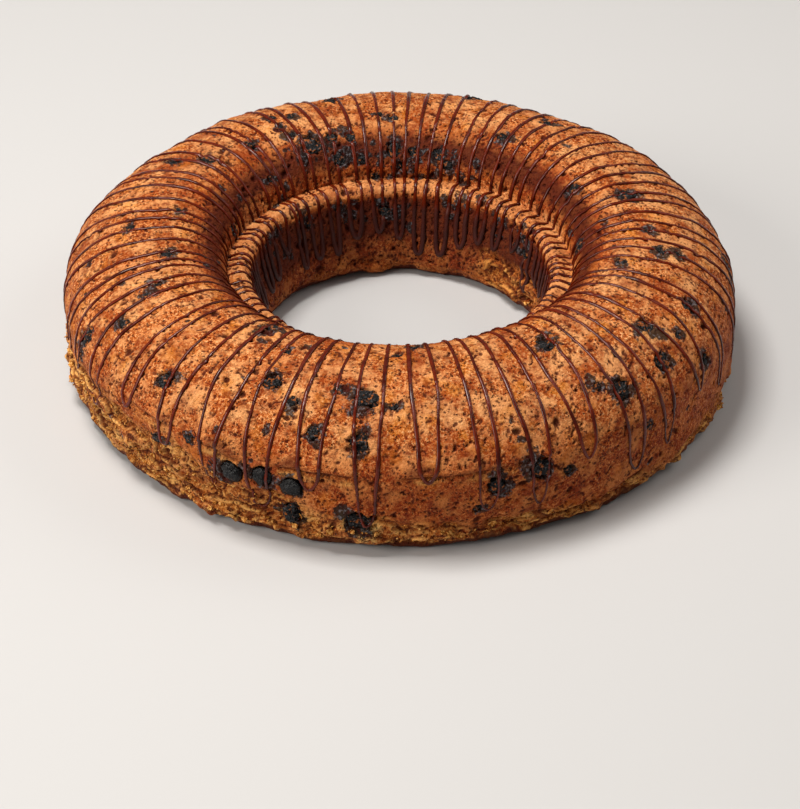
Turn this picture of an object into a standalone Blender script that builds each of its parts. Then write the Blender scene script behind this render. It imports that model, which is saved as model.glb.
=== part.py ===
# Ring cake with dark fruit baked into it and a thin chocolate drizzle.
# Metres, +Z up. The origin is on the table, in the middle of the hole, and -Y is the front.
# The cake is one solid: its drizzle is ridges in the crust, and each fruit sits in its own pocket.

import math
import random

import bmesh
import bpy
from mathutils import Matrix, Vector, noise

# Driving dimensions of the ring
CAKE_RADIUS = 0.1290  # outer wall
CAKE_HEIGHT = 0.0565  # crest of the dome above the table
CREST_RADIUS = 0.0900
WALL_TOP = 0.0270  # height where the outer wall rounds into the dome
DOME_POWER = 2.08  # outer side of the dome: 2 is an ellipse, more is squarer
SLOPE_POWER = 2.0  # its inner side, down to the groove
GROOVE_RADIUS = 0.0665  # small groove at the foot of the dome's inner slope
GROOVE_HEIGHT = 0.0375
LIP_RADIUS = 0.0572  # step round the hole
LIP_HEIGHT = 0.0388
LIP_ROUNDING = 0.0042
HOLE_RADIUS = 0.0520  # hole at the foot of the cake

# Ragged foot and flat underside
FOOT_HEIGHT = 0.0060
FOOT_RISE = 0.0022  # mean height of the crust's lower edge
FOOT_RAGGED = 0.0016
UNDERSIDE_INSET = 0.0085
UNEVEN = 0.0011  # slow unevenness of the crust
CRAGS = 0.0009  # rough relief of the wall below the drizzle

# Drizzle: one thread led to and fro across the ring, so it turns back at each end
STRANDS = 80  # crossings, two for each turn
STRAND_HALF_WIDTH = 0.0010
STRAND_HEIGHT = 0.0010
STRAND_STRAY = math.radians(1.2)
TURN_LENGTH = 0.0045
# Half the angle between two strands above their turn
OUTER_TURN_GAPS = (math.radians(0.7), math.radians(1.4))
INNER_TURN_GAPS = (math.radians(1.2), math.radians(2.2))
OUTER_TURN_HEIGHTS = (0.012, 0.032)
INNER_TURN_HEIGHTS = (0.010, 0.024)
DRIZZLE_SEED = 11

# Fruit pieces
BERRY_COUNT = 30
BERRY_HALF_WIDTHS = (0.0036, 0.0062)
BERRY_FLATNESS = 0.62  # depth as a share of width
BERRY_SUNK = 0.55  # share of the half depth that the middle lies under the crust
BERRY_LUMPS = 0.16
BERRY_SPACING = 0.0260  # from the middle of a drawn one to the nearest other
POCKET_GAP = 0.00035
BERRY_SEED = 26
PROUD_SUNK = 0.15
# Whole berries that stand out of the wall at the front left: degrees from the front towards +X,
# millimetres over the crust from the outer foot, half width in millimetres
PROUD_BERRIES = ((-27, 20, 4.8), (-21.7, 21.5, 4.6), (-16.8, 19.5, 4.8))
# Larger fruit on the front and the two sides, given in the same way; the rest is drawn by seed
FRONT_BERRIES = (
    (-66, 34, 5.2),
    (-43, 42, 4.2),
    (-34, 84, 4.4),
    (-24, 57, 4.4),
    (-17, 8, 4.6),
    (-6, 56, 5.6),
    (-6.5, 39, 4.6),
    (-6.5, 8.5, 5.0),
    (15, 22, 4.4),
    (22.5, 25, 5.2),
    (33, 70, 5.0),
    (40, 42, 5.2),
    (51, 42, 4.6),
    (54, 56, 4.4),
    (66, 49, 4.2),
    (104, 75, 4.8),
    (-123, 75, 5.2),
    (-152, 90, 5.6),
    (-178, 97, 4.6),
)

DOME_STEPS = 24
CRUST_COLOUR = (0.50, 0.22, 0.07, 1)
CHOCOLATE_COLOUR = (0.09, 0.022, 0.012, 1)
BERRY_COLOUR = (0.020, 0.020, 0.026, 1)


def clear_scene():
    for obj in list(bpy.data.objects):
        bpy.data.objects.remove(obj, do_unlink=True)


def make_material(name, colour, roughness):
    material = bpy.data.materials.new(name)
    material.use_nodes = True
    shader = material.node_tree.nodes["Principled BSDF"]
    shader.inputs["Base Color"].default_value = colour
    shader.inputs["Roughness"].default_value = roughness
    shader.inputs["Metallic"].default_value = 0.0
    return material


class Section:
    """The ring's outline as (radius, height), from the outer foot over the dome to the hole's foot."""

    def __init__(self):
        self.points = []
        self.lengths = []
        self.add(CAKE_RADIUS, FOOT_HEIGHT)
        self.add(CAKE_RADIUS, WALL_TOP)
        outside = CAKE_RADIUS - CREST_RADIUS
        self.add_quarter(outside, WALL_TOP, DOME_POWER, rising=True)
        self.crest = self.lengths[-1]
        inside = GROOVE_RADIUS - CREST_RADIUS
        self.add_quarter(inside, GROOVE_HEIGHT, SLOPE_POWER, rising=False)
        self.groove = self.lengths[-1]
        self.add(LIP_RADIUS + LIP_ROUNDING, LIP_HEIGHT)
        self.lip = self.lengths[-1]
        for step in range(1, 5):
            turn = math.pi / 2 * step / 4
            self.add(
                LIP_RADIUS + LIP_ROUNDING * (1 - math.sin(turn)),
                LIP_HEIGHT - LIP_ROUNDING * (1 - math.cos(turn)),
            )
        self.hole_edge = self.lengths[-1]
        self.add(HOLE_RADIUS, FOOT_HEIGHT)
        self.end = self.lengths[-1]

    def add_quarter(self, reach, foot, power, rising):
        """Quarter of a superellipse between the crest and a foot that lies reach out from it."""
        for step in range(1, DOME_STEPS + 1):
            turn = math.pi / 2 * step / DOME_STEPS
            along, up = math.cos(turn), math.sin(turn)
            if not rising:
                along, up = up, along
            self.add(
                CREST_RADIUS + reach * along ** (2 / power),
                foot + (CAKE_HEIGHT - foot) * up ** (2 / power),
            )

    def add(self, radius, height):
        if self.points:
            last = self.points[-1]
            step = math.hypot(radius - last[0], height - last[1])
            self.lengths.append(self.lengths[-1] + step)
        else:
            self.lengths.append(0.0)
        self.points.append((radius, height))

    def at(self, length):
        """(radius, height) at this distance along the outline."""
        length = min(max(length, 0.0), self.end)
        for i in range(1, len(self.points)):
            if length <= self.lengths[i]:
                break
        share = (length - self.lengths[i - 1]) / (self.lengths[i] - self.lengths[i - 1])
        start, stop = self.points[i - 1], self.points[i]
        return tuple(a + (b - a) * share for a, b in zip(start, stop))

    def normal(self, length):
        """Outward direction of the outline, as (radius, height)."""
        reach = 0.0012
        r0, z0 = self.at(length - reach)
        r1, z1 = self.at(length + reach)
        size = math.hypot(r1 - r0, z1 - z0)
        return ((z1 - z0) / size, -(r1 - r0) / size)

    def at_height(self, height, inside=False):
        """Distance along the outline where the outer wall, or the hole's wall, has this height."""
        low, high = (self.end, self.crest) if inside else (0.0, self.crest)
        for _ in range(40):
            middle = (low + high) / 2
            if self.at(middle)[1] < height:
                low = middle
            else:
                high = middle
        return (low + high) / 2


def bearing(angle):
    """Level direction at this angle from the front, turning towards +X."""
    return Vector((math.sin(angle), -math.cos(angle), 0.0))


def crust_point(section, angle, length, lift=0.0):
    """A point of the crust, with its slow unevenness, raised by lift along its normal."""
    radius, height = section.at(length)
    out, up = section.normal(length)
    direction = bearing(angle)
    spot = direction * radius * 22 + Vector((0, 0, height * 22))
    lift += UNEVEN * noise.noise(spot)
    return direction * (radius + out * lift) + Vector((0, 0, height + up * lift))


def blend(a, b, share):
    return a + (b - a) * share


class Drizzle:
    """Angles of the strands, and the angle, end and half gap of each turn that joins two."""

    def __init__(self, section):
        draw = random.Random(DRIZZLE_SEED)
        pitch = 2 * math.pi / STRANDS
        self.angles = [
            (k + 0.5) * pitch + draw.uniform(-STRAND_STRAY, STRAND_STRAY) for k in range(STRANDS)
        ]
        self.outer = []
        self.inner = []
        for k in range(0, STRANDS, 2):
            middle = (self.angles[k] + self.angles[k + 1]) / 2
            end = section.at_height(draw.uniform(*OUTER_TURN_HEIGHTS))
            self.outer.append((middle, end, draw.uniform(*OUTER_TURN_GAPS)))
        for k in range(1, STRANDS, 2):
            after = self.angles[k + 1] if k + 1 < STRANDS else self.angles[0] + 2 * math.pi
            end = section.at_height(draw.uniform(*INNER_TURN_HEIGHTS), inside=True)
            gap = draw.uniform(*INNER_TURN_GAPS)
            self.inner.append(((self.angles[k] + after) / 2, end, gap))

    def outer_turn(self, k):
        return self.outer[k // 2]

    def inner_turn(self, k):
        """Turn at the hole: strand 0 shares the last one, a whole circle back."""
        angle, length, gap = self.inner[(k - 1) // 2]
        return (angle - 2 * math.pi, length, gap) if k == 0 else (angle, length, gap)


def ring_rows(section, drizzle, k):
    """Rows of strand k from foot to foot, each as (angle, length, ridge, foot): ridge is the
    strand's share of its full height, and None where the row has one point for the strand."""
    angle = drizzle.angles[k]
    outer_angle, outer_end, outer_half = drizzle.outer_turn(k)
    inner_angle, inner_end, inner_half = drizzle.inner_turn(k)
    outer_side = -1 if k % 2 == 0 else 1
    inner_side = 1 if k % 2 == 0 else -1
    outer_gap = outer_angle + outer_side * outer_half
    inner_gap = inner_angle + inner_side * inner_half
    plain_outer = outer_angle + outer_side * math.pi / STRANDS
    plain_inner = inner_angle + inner_side * math.pi / STRANDS
    neck = outer_end + TURN_LENGTH
    rows = [(plain_outer, 0.0, None), (plain_outer, outer_end * 0.5, None)]
    rows.append((outer_angle, outer_end, 0.0))
    rows.append((outer_gap, neck, 1.0))
    for share in (0.2, 0.4, 0.6, 0.8, 1.0):
        turned = blend(outer_gap, angle, min(1.0, share * 1.6))
        rows.append((turned, blend(neck, section.crest, share), 1.0))
    for share in (0.3, 0.65, 1.0):
        rows.append((angle, blend(section.crest, section.groove, share), 1.0))
    for share in (0.0, 0.5, 1.0):
        turned = blend(angle, inner_gap, 0.4 * share)
        rows.append((turned, blend(section.lip, section.hole_edge, share), 1.0))
    rows.append((inner_gap, inner_end - TURN_LENGTH, 1.0))
    rows.append((inner_angle, inner_end, 0.0))
    rows.append((plain_inner, blend(inner_end, section.end, 0.5), None))
    rows.append((plain_inner, section.end, None))
    return rows


def foot_point(angle, inside):
    """Ragged lower edge of the crust, outside or in the hole."""
    radius = HOLE_RADIUS if inside else CAKE_RADIUS
    side = -1 if inside else 1
    spot = bearing(angle) * radius * 90
    crag = noise.noise(spot)
    rise = noise.noise(spot + Vector((0, 0, 7)))
    height = max(0.0008, FOOT_RISE + FOOT_RAGGED * 1.6 * rise)
    return bearing(angle) * (radius + side * (FOOT_RAGGED * crag - 0.0006)) + Vector((0, 0, height))


def underside_point(angle, inside):
    radius = HOLE_RADIUS + UNDERSIDE_INSET if inside else CAKE_RADIUS - UNDERSIDE_INSET
    return bearing(angle) * radius


def make_ring(section, drizzle, materials):
    """A torus whose rings of points are drawn onto the section, three columns to a strand."""
    columns = 3 * STRANDS
    rows = [ring_rows(section, drizzle, k) for k in range(STRANDS)]
    around = len(rows[0]) + 4
    bpy.ops.mesh.primitive_torus_add(major_segments=columns, minor_segments=around)
    ring = bpy.context.object
    ring.name = "cake"
    mesh = ring.data
    for material in materials:
        mesh.materials.append(material)
    for k in range(STRANDS):
        points = rows[k]
        outer_plain, inner_plain = points[0][0], points[-1][0]
        for side in (-1, 0, 1):
            column = 3 * k + side + 1
            placed = [underside_point(outer_plain, False), foot_point(outer_plain, False)]
            for angle, length, ridge in points:
                radius = section.at(length)[0]
                if ridge is None:
                    crag = noise.noise(bearing(angle) * 9 + Vector((0, 0, length * 300)))
                    placed.append(crust_point(section, angle, length, CRAGS * crag))
                    continue
                spread = side * ridge * STRAND_HALF_WIDTH / radius
                lift = STRAND_HEIGHT * (max(ridge, 0.5) if side == 0 or ridge == 0 else 0)
                placed.append(crust_point(section, angle + spread, length, lift))
            placed += [foot_point(inner_plain, True), underside_point(inner_plain, True)]
            for row, point in enumerate(placed):
                mesh.vertices[column * around + row].co = point
    for face in mesh.polygons:
        found = {v // around for v in face.vertices}
        rows_used = [v % around for v in face.vertices]
        in_ridge = min(rows_used) >= 4 and max(rows_used) <= around - 5
        same = len({column // 3 for column in found}) == 1
        face.material_index = 1 if in_ridge and same else 0
    bm = bmesh.new()
    bm.from_mesh(mesh)
    bmesh.ops.remove_doubles(bm, verts=bm.verts, dist=1e-6)
    bmesh.ops.triangulate(bm, faces=bm.faces)
    bm.to_mesh(mesh)
    bm.free()
    mesh.shade_smooth()
    mesh.set_sharp_from_angle(angle=math.radians(35))
    return ring


def surface_frame(section, angle, length):
    """Matrix with its origin on the crust, Z outwards and X along the ring."""
    out, up = section.normal(length)
    across = Vector((math.cos(angle), math.sin(angle), 0))
    outward = (bearing(angle) * out + Vector((0, 0, up))).normalized()
    along = outward.cross(across)
    frame = Matrix((across, along, outward)).transposed().to_4x4()
    frame.translation = crust_point(section, angle, length)
    return frame


def scatter_berries(section):
    """(angle, length, half width, sunk share) of each fruit: the placed ones first, then a seeded
    draw that keeps them apart and off the lip's edge."""
    chosen = []
    for listed, sunk in ((PROUD_BERRIES, PROUD_SUNK), (FRONT_BERRIES, BERRY_SUNK)):
        for degrees, along, half in listed:
            chosen.append((math.radians(degrees), along / 1000, half / 1000, sunk))
    draw = random.Random(BERRY_SEED)
    edges = (section.groove - 0.006, section.hole_edge + 0.008)
    while len(chosen) < BERRY_COUNT:
        angle = draw.uniform(-math.pi, math.pi)
        length = draw.uniform(0.006, section.end - 0.010)
        half = draw.uniform(*BERRY_HALF_WIDTHS)
        radius = section.at(length)[0]
        if edges[0] < length < edges[1] or draw.random() > radius / CAKE_RADIUS:
            continue
        here = crust_point(section, angle, length)
        gaps = [(crust_point(section, a, s) - here).length for a, s, _, _ in chosen]
        if min(gaps) > BERRY_SPACING:
            chosen.append((angle, length, half, BERRY_SUNK))
    return chosen


def make_berry(name, frame, half, sunk, turn, grow=0.0):
    """A lumpy flattened ball on the crust. grow widens it all round, for its pocket's cutter."""
    bm = bmesh.new()
    bmesh.ops.create_icosphere(bm, subdivisions=2, radius=1.0)
    sizes = Vector((half, half * 0.86, half * BERRY_FLATNESS))
    for vert in bm.verts:
        lump = 1 + BERRY_LUMPS * noise.noise(vert.co * 1.7 + Vector((turn * 9, 0, 0)))
        shaped = Vector([c * s * lump for c, s in zip(vert.co, sizes)])
        vert.co = shaped + vert.co * grow
    bmesh.ops.rotate(bm, verts=bm.verts, matrix=Matrix.Rotation(turn, 3, "Z"))
    mesh = bpy.data.meshes.new(name)
    bm.to_mesh(mesh)
    bm.free()
    mesh.shade_smooth()
    berry = bpy.data.objects.new(name, mesh)
    berry.matrix_world = frame @ Matrix.Translation((0, 0, -sunk * sizes.z))
    return berry


def make_berries(section, ring, model, cutters, material):
    """Each fruit as its own solid, with a slightly larger cutter for its pocket in the cake."""
    draw = random.Random(BERRY_SEED + 1)
    for n, (angle, length, half, sunk) in enumerate(scatter_berries(section), 1):
        frame = surface_frame(section, angle, length)
        turn = draw.uniform(0, math.pi)
        berry = make_berry(f"berry_{n:02d}", frame, half, sunk, turn)
        berry.data.materials.append(material)
        model.objects.link(berry)
        cutter = make_berry(f"pocket_{n:02d}", frame, half, sunk, turn, POCKET_GAP)
        cutter.hide_render = True
        cutter.display_type = "WIRE"
        cutters.objects.link(cutter)
    pockets = ring.modifiers.new("pockets", "BOOLEAN")
    pockets.operation = "DIFFERENCE"
    pockets.solver = "EXACT"
    pockets.operand_type = "COLLECTION"
    pockets.collection = cutters


def centre_on_hole(objects, measured):
    """Shift the objects level, so that the middle of the measured ones' box is at the origin."""
    corners = [obj.matrix_world @ vert.co for obj in measured for vert in obj.data.vertices]
    for axis in (0, 1):
        values = [corner[axis] for corner in corners]
        middle = (min(values) + max(values)) / 2
        for obj in objects:
            obj.matrix_world.translation[axis] -= middle


def main():
    clear_scene()
    model = bpy.data.collections.new("ring_cake")
    cutters = bpy.data.collections.new("pocket_cutters")
    for collection in (model, cutters):
        bpy.context.scene.collection.children.link(collection)
    crust = make_material("crust", CRUST_COLOUR, 0.75)
    chocolate = make_material("chocolate", CHOCOLATE_COLOUR, 0.30)
    fruit = make_material("fruit", BERRY_COLOUR, 0.45)
    section = Section()
    ring = make_ring(section, Drizzle(section), (crust, chocolate))
    for collection in list(ring.users_collection):
        collection.objects.unlink(ring)
    model.objects.link(ring)
    make_berries(section, ring, model, cutters, fruit)
    centre_on_hole(list(model.objects) + list(cutters.objects), list(model.objects))


main()
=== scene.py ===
import itertools
import math
import random

import bmesh
import bpy
import numpy as np
from mathutils import Matrix, Vector, noise
from mathutils.bvhtree import BVHTree


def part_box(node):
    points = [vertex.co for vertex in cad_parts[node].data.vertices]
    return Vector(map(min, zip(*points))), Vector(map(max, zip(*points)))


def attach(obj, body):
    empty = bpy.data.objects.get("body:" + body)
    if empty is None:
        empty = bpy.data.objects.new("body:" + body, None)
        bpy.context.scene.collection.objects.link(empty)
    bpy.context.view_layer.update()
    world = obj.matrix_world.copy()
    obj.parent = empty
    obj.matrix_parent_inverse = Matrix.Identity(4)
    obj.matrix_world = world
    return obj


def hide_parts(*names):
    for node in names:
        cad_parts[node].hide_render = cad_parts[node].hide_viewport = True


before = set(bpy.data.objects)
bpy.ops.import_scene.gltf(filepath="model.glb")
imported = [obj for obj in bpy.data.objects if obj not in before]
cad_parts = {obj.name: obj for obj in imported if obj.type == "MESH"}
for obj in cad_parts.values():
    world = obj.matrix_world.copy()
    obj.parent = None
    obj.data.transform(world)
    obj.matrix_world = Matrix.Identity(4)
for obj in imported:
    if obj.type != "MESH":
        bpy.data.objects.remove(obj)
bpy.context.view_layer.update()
print("frame loaded:", len(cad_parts), "solids")

# sizes of the ring, in metres, the same as the solid's
ring = {
    "radius": 0.1290,
    "height": 0.0565,
    "crestRadius": 0.0900,
    "wallTop": 0.0270,
    "domePower": 2.08,
    "slopePower": 2.0,
    "grooveRadius": 0.0665,
    "grooveHeight": 0.0375,
    "lipRadius": 0.0572,
    "lipHeight": 0.0388,
    "lipRounding": 0.0042,
    "holeRadius": 0.0520,
    "footHeight": 0.0060,
    "uneven": 0.0011,
    "unevenPerMetre": 22,
    "middle": (0.00015, -0.00014),  # the solid's small shift that centres its box
}


# numbers that vary over space

def hashed(cells, seed):
    mixed = cells[:, 0] * 73856093 ^ cells[:, 1] * 19349663 ^ cells[:, 2] * 83492791 ^ (seed * 668265 + 9)
    mixed = ((mixed ^ (mixed >> 15)) * 2246822519) & 0xFFFFFFFF
    mixed = ((mixed ^ (mixed >> 13)) * 3266489917) & 0xFFFFFFFF
    return ((mixed ^ (mixed >> 16)) & 0xFFFFFF) / 0x7FFFFF - 1.0


def softNoise(points, perMetre, seed):
    # smooth random values, about -1 to 1
    spot = points * perMetre + 311.7
    cell = np.floor(spot).astype(np.int64)
    part = spot - cell
    ease = part * part * (3 - 2 * part)
    total = np.zeros(len(points))
    for corner in itertools.product((0, 1), repeat=3):
        share = np.prod(np.where(corner, ease, 1 - ease), axis=1)
        total += hashed(cell + np.array(corner), seed) * share
    return total


def cellGap(points, perMetre, seed):
    # distance to the nearest and the second nearest of scattered cell middles, in cells
    spot = points * perMetre + 311.7
    cell = np.floor(spot).astype(np.int64)
    nearest = np.full(len(points), 9.0)
    second = np.full(len(points), 9.0)
    for offset in itertools.product((-1, 0, 1), repeat=3):
        pick = cell + np.array(offset)
        away = pick + 0.5 - spot
        for axis in range(3):
            away[:, axis] += 0.45 * hashed(pick, seed + 7 * axis)
        distance = np.sqrt((away ** 2).sum(axis=1))
        second = np.minimum(second, np.maximum(nearest, distance))
        nearest = np.minimum(nearest, distance)
    return nearest, second


def blenderNoise(points, perMetre):
    return np.array([noise.noise(Vector(spot)) for spot in (points * perMetre).tolist()])


def angleGap(angles, middle):
    return (angles - middle + math.pi) % (2 * math.pi) - math.pi


def smoothStep(low, high, value):
    share = np.clip((value - low) / (high - low), 0, 1)
    return share * share * (3 - 2 * share)


def bell(value, middle, width):
    return np.exp(-((value - middle) / width) ** 2)


# outline of the ring

def lengthsAlong(points):
    return np.concatenate([[0], np.cumsum(np.hypot(*np.diff(points, axis=0).T))])


def ringOutline():
    # radii and heights over the crust, from under the outer foot to under the hole's foot
    points = [(ring["radius"], ring["footHeight"]), (ring["radius"], ring["wallTop"])]
    turns = [math.pi / 2 * step / 24 for step in range(1, 25)]
    crest, corners = ring["crestRadius"], {}
    for name, radius, foot, power, way in (
        ("crest", ring["radius"], ring["wallTop"], ring["domePower"], 1),
        ("groove", ring["grooveRadius"], ring["grooveHeight"], ring["slopePower"], -1),
    ):
        for turn in turns:
            along, up = (math.cos(turn), math.sin(turn))[::way]
            points.append((crest + (radius - crest) * along ** (2 / power),
                           foot + (ring["height"] - foot) * up ** (2 / power)))
        corners[name] = len(points) - 1
    corners["lip"] = len(points)
    for step in range(5):
        turn = math.pi / 2 * step / 4
        points.append((ring["lipRadius"] + ring["lipRounding"] * (1 - math.sin(turn)),
                       ring["lipHeight"] - ring["lipRounding"] * (1 - math.cos(turn))))
    corners["edge"] = len(points) - 1
    corners["end"] = len(points)
    points.append((ring["holeRadius"], ring["footHeight"]))
    along = lengthsAlong(points)
    # the foot curls in under the cake at both ends
    curl = ((0.0003, 0.0035), (0.0012, 0.0015), (0.0035, 0.0004), (0.0085, 0.0))
    middle = ((ring["radius"] + ring["holeRadius"]) / 2, 0.0)
    outer = [(ring["radius"] - back, z) for back, z in curl] + [middle]
    inner = [(ring["holeRadius"] + back, z) for back, z in curl] + [middle]
    whole = np.array(outer[::-1] + points + inner)
    wholeAlong = lengthsAlong(whole)
    return whole, wholeAlong - wholeAlong[len(outer)], {name: along[at] for name, at in corners.items()}


outline, outlineAlong, marks = ringOutline()


def outlineAt(along):
    return np.interp(along, outlineAlong, outline[:, 0]), np.interp(along, outlineAlong, outline[:, 1])


def outlineNormal(along):
    reach = 0.0012
    r0, z0 = outlineAt(np.asarray(along) - reach)
    r1, z1 = outlineAt(np.asarray(along) + reach)
    size = np.hypot(r1 - r0, z1 - z0) + 1e-12
    return (z1 - z0) / size, -(r1 - r0) / size


def alongAtHeight(height, inside=False):
    low, high = (marks["end"] if inside else 0.0), marks["crest"]
    for _ in range(40):
        half = (low + high) / 2
        if outlineAt(half)[1] < height:
            low = half
        else:
            high = half
    return (low + high) / 2


def bearing(angle):
    return np.stack([np.sin(angle), -np.cos(angle)], axis=-1)


def ringPlace(point):
    # angle and distance over the crust of the nearest spot of the outline
    x, y = point[0] - ring["middle"][0], point[1] - ring["middle"][1]
    fine = np.linspace(0, marks["end"], 3000)
    radii, heights = outlineAt(fine)
    best = np.argmin(np.hypot(radii - math.hypot(x, y), heights - point[2]))
    return math.atan2(x, -y), fine[best]


fruit = {
    "foldDepth": 0.0012,
    "foldsPerMetre": 360,
    "wholeFolds": 0.60,  # share of the folds on the whole, shiny ones
    "wholeLumps": (0.16, 150),  # how lumpy those are, as a share of their size, and how many to a metre
    "flatten": 0.72,
    "wholeNodes": ("berry_01", "berry_02", "berry_03"),
    "bitCount": 62,
    "bitSizes": (0.0012, 0.0032),
    "bitFlat": 0.42,
    "bitSunk": 0.60,
    "clumpCount": 22,
    # smaller pieces seen on the cake: degrees, millimetres over the crust, half width
    "seenBits": (
        (-66, 26, 2.6), (-60, 49, 3.0), (-63, 62, 2.6), (-77, 77, 3.2), (-65, 68, 2.4), (-136, 80, 3.2),
        (-106, 104, 3.0), (-14, 41, 3.2), (-42, 20, 2.8), (61, 31, 3.0), (80, 66, 3.2), (88, 71, 2.6),
        (73, 79, 2.8), (116, 90, 3.2), (92, 101, 3.0), (149, 85, 3.4), (143, 66, 3.0), (12, 13, 2.6),
        (44, 23, 2.4), (-35, 27, 2.6), (-90, 62, 3.0), (-97, 80, 2.6), (-118, 64, 3.2), (-19, 51, 2.6),
        (-11, 58, 2.4), (-1, 53, 2.2), (36, 46, 2.6), (58, 45, 2.4), (27, 21, 2.6), (-148, 83, 2.6),
    ),
    # crowded dark pieces on the slope behind the hole and down the hole's wall
    "farClumps": (
        (-148, 94), (-157, 92), (-164, 89), (-171, 97), (-178, 104), (174, 100), (167, 104), (159, 101),
        (179, 125), (156, 121), (139, 122), (-160, 126), (-140, 124), (120, 124), (-120, 127),
    ),
    "farBits": 26,
    "smudges": 190,  # flat dark marks
    "farSmudges": 90,  # of which this many lie behind the hole
    "smudgeSizes": (0.0006, 0.0024),
    "farSmudgeSizes": (0.0010, 0.0032),
    "seed": 77,
}


def fruitPlaces():
    places = []
    for name in sorted(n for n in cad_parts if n.startswith("berry")):
        low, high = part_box(name)
        middle = (low + high) / 2
        half = max((v.co - middle).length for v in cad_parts[name].data.vertices)
        angle, along = ringPlace(middle)
        places.append(dict(name=name, angle=angle, along=along, half=half))
    draw = random.Random(fruit["seed"])
    wanted = [(math.radians(turn), along / 1000, half / 1000) for turn, along, half in fruit["seenBits"]]
    for _ in range(fruit["farBits"]):
        turn, along = draw.choice(fruit["farClumps"])
        wanted.append((math.radians(turn + draw.gauss(0, 4)), along / 1000 + draw.gauss(0, 0.003),
                       draw.uniform(0.0016, 0.0036)))
    clumps = [(draw.uniform(-math.pi, math.pi), draw.uniform(0.004, marks["end"] - 0.006))
              for _ in range(fruit["clumpCount"])]
    for _ in range(6 * fruit["bitCount"]):
        clump = draw.choice(clumps)
        along = clump[1] + draw.gauss(0, 0.006)
        angle = clump[0] + draw.gauss(0, 0.008) / float(outlineAt(along)[0])
        wanted.append((angle, along, draw.uniform(*fruit["bitSizes"])))
    for angle, along, half in wanted:
        if sum(not place["name"] for place in places) == fruit["bitCount"]:
            break
        radius = float(outlineAt(along)[0])
        if not 0.003 < along < marks["end"] - 0.004 or abs(along - marks["edge"]) < half * 0.6:
            continue
        gaps = [math.hypot(angleGap(angle, other["angle"]) * radius, along - other["along"])
                - (half + other["half"]) * 0.85 for other in places]
        if min(gaps) > 0:
            places.append(dict(name="", angle=angle, along=along, half=half))
    return places


places = fruitPlaces()
print("fruit places:", len(places))


# crust

crustMesh = {
    "columns": 1200,
    "step": 0.00052,
    "holeStep": 0.00080,
    "cuts": (0.030, 0.061, 0.096),  # where it is cut into four pieces
    # rows below the foot, as distances past it under the cake
    "underRows": (0.0008, 0.0016, 0.0024, 0.0033, 0.0043, 0.0054, 0.0068, 0.0086, 0.0121, 0.020, 0.031),
}

# relief of the crust, heights in metres
crustRelief = {
    "swells": (0.00045, 48),  # height and how many to a metre
    "lumps": (0.00036, 125),
    "grain": (0.00017, 640),
    "fine": (0.00011, 950),
    "tornGrain": (0.0007, 260),
    "crags": (0.0011, 150),
    "tornLayer": 0.0016,  # height of one flaky layer
    "tornLying": (70, 250),  # flakes to a metre along the ring and over the crust
    "tornTop": (0.0040, 0.0220),  # the rough band's upper edge: least, and what the left side adds
    "tornLeft": math.radians(-52),
    "tornWidth": math.radians(48),
    "tornSide": math.radians(118),  # the patch up the hole's wall
    "tornFade": 0.006,
    "tornSunk": 0.0009,  # how far the torn crumb lies behind the crust
    "foldAt": 0.0285,  # the crust's fold over the wall, with its step and how far it wanders
    "foldStep": 0.0012,
    "foldStray": 0.0028,
    "foldMiddle": math.radians(-15),
    "foldEnds": (math.radians(16), math.radians(46)),  # fades out between these, to both sides
    "footRise": 0.0030,
    "footInOut": 0.0012,
    "seed": 5,
}

pores = {"count": 9000, "size": (0.00032, 0.00075), "depth": (0.0003, 0.0007), "seed": 31}
cracks = {
    "count": 260, "length": (0.002, 0.0065), "width": 0.00040, "step": 0.0006, "depth": 0.00035, "seed": 47,
}
redPits = {"count": 240, "size": (0.0006, 0.0015), "depth": 0.0013, "seed": 53}

# pale greenish crumb beside the low fruit: degrees, metres over the crust, reach
paleSpots = ((-17, 0.006, 0.006), (-5, 0.005, 0.006), (-8, 0.010, 0.005))


def crustRows():
    # rows from under the outer foot to under the hole's foot, and where the pieces are cut
    under = np.array(crustMesh["underRows"])
    outer, inner = -under[::-1], marks["end"] + under
    outer = np.concatenate([outlineAlong[:1], outer[outer > outlineAlong[0] + 0.001]])
    inner = np.concatenate([inner[inner < outlineAlong[-1] - 0.001], outlineAlong[-1:]])
    ends = (0, *crustMesh["cuts"])
    bands = [np.arange(low, high, crustMesh["step"]) for low, high in zip(ends[:-1], ends[1:])]
    bands[0] = np.concatenate([outer, bands[0]])
    bands.append(np.concatenate([np.arange(ends[-1], marks["end"], crustMesh["holeStep"]), inner]))
    cuts = [0, *np.cumsum([len(band) for band in bands])]
    cuts[-1] -= 1
    return np.concatenate(bands), cuts


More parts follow.
